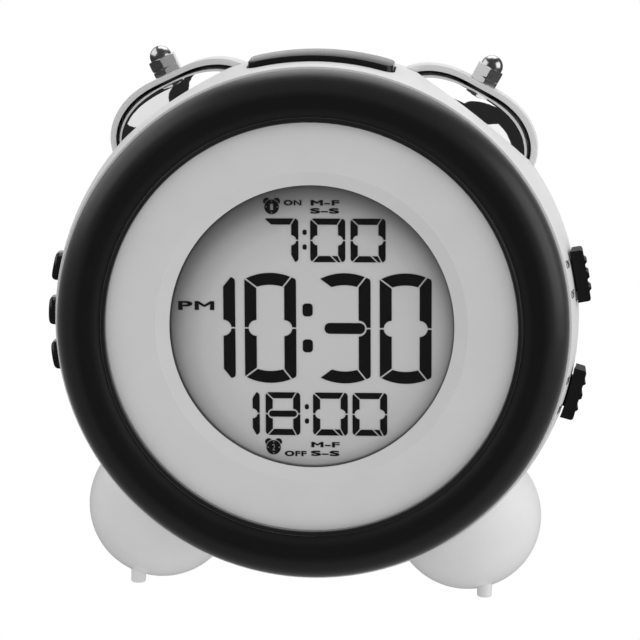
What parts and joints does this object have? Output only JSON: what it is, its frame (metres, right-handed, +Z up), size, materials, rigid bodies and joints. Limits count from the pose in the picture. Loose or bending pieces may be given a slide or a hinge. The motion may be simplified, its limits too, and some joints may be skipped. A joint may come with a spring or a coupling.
{
  "type": "alarm clock",
  "caption": "Round twin-bell digital alarm clock with a wide black front ring, round display, snooze bar on top, side keys, slide switches and ball feet.",
  "frame": {"origin": "on the table, under the middle of the clock's box", "axes": "+X to the viewer's right as the clock faces the viewer, +Y to the rear, +Z up"},
  "size_m": [0.1287, 0.0564, 0.1314],
  "materials": {
    "white_shell": "satin moulded",
    "black_ring": "satin, soft sheen",
    "face_grey": "fine matte",
    "clear_window": "clear polished",
    "display_glass": "reflective grey display",
    "inner_plastic": "moulded",
    "light_guide": "polished acrylic",
    "contact_rubber": "striped elastomer",
    "board_green": "solder mask",
    "chip_resin": "cured resin",
    "steel": "plain",
    "bell_chrome": "polished",
    "washer_rubber": "matte",
    "black_button": "satin",
    "switch_plastic": "moulded",
    "striker_brass": "turned",
    "cell_sleeve": "plain sleeve"
  },
  "bodies": {
    "case": {"front_housing": "white_shell", "rear_housing": "white_shell", "foot_left": "white_shell", "foot_right": "white_shell", "foot_pegs": "white_shell", "front_ring": "black_ring", "face_bezel": "face_grey", "display_window": "clear_window", "lcd_glass": "display_glass", "lcd_frame": "inner_plastic", "backlight_guide": "light_guide", "contact_strips": "contact_rubber", "main_board": "board_green", "snooze_board": "board_green", "key_board": "board_green", "switch_boards": "board_green", "chip_blob": "chip_resin", "crystal_can": "steel", "display_screws": "steel", "board_screws": "steel", "bell_bolts": "steel", "clamp_screws": "steel", "case_screws": "steel", "foot_screws": "steel", "motor_clamp": "steel", "striker_motor": "steel", "slide_switches": "steel", "battery_contacts": "steel", "bell_left": "bell_chrome", "bell_right": "bell_chrome", "jam_nuts": "bell_chrome", "dome_nuts": "bell_chrome", "bell_washers": "washer_rubber", "snooze_switch": "switch_plastic", "key_switches": "switch_plastic", "batteries": "cell_sleeve"},
    "snooze": {"snooze_button": "black_button", "snooze_plunger": "switch_plastic"},
    "key_upper": {"side_key_upper": "black_button", "key_plunger_upper": "switch_plastic"},
    "key_middle": {"side_key_middle": "black_button", "key_plunger_middle": "switch_plastic"},
    "key_lower": {"side_key_lower": "black_button", "key_plunger_lower": "switch_plastic"},
    "switch_upper": {"switch_knob_upper": "black_button", "switch_lever_upper": "switch_plastic"},
    "switch_lower": {"switch_knob_lower": "black_button", "switch_lever_lower": "switch_plastic"},
    "striker": {"motor_shaft": "steel", "striker_hub": "switch_plastic", "striker_arm": "steel", "striker_head": "striker_brass"},
    "door": {"battery_door": "white_shell"}
  },
  "joints": [
    {"name": "snooze_press", "type": "slide", "parent": "case", "child": "snooze", "axis": [0, 0, -1], "range_m": [0, 0.001], "stiffness_N_per_m": 800, "springref_m": -0.0005},
    {"name": "key_upper_press", "type": "slide", "parent": "case", "child": "key_upper", "axis": [1, 0, 0], "range_m": [0, 0.0007], "stiffness_N_per_m": 800, "springref_m": -0.0005},
    {"name": "key_middle_press", "type": "slide", "parent": "case", "child": "key_middle", "axis": [1, 0, 0], "range_m": [0, 0.0007], "stiffness_N_per_m": 800, "springref_m": -0.0005},
    {"name": "key_lower_press", "type": "slide", "parent": "case", "child": "key_lower", "axis": [1, 0, 0], "range_m": [0, 0.0007], "stiffness_N_per_m": 800, "springref_m": -0.0005},
    {"name": "switch_upper_slide", "type": "slide", "parent": "case", "child": "switch_upper", "axis": [-0.2028, 0, 0.9792], "range_m": [-0.002, 0]},
    {"name": "switch_lower_slide", "type": "slide", "parent": "case", "child": "switch_lower", "axis": [0.2402, 0, 0.9707], "range_m": [0, 0.002]},
    {"name": "striker_swing", "type": "hinge", "parent": "case", "child": "striker", "pos_m": [0, 0.00225, 0.09573], "axis": [0, 1, 0], "range_deg": [-22.3, 22.3]},
    {"name": "door_lift_off", "type": "slide", "parent": "case", "child": "door", "axis": [0, 1, 0], "range_m": [0, 0.03]}
  ]
}
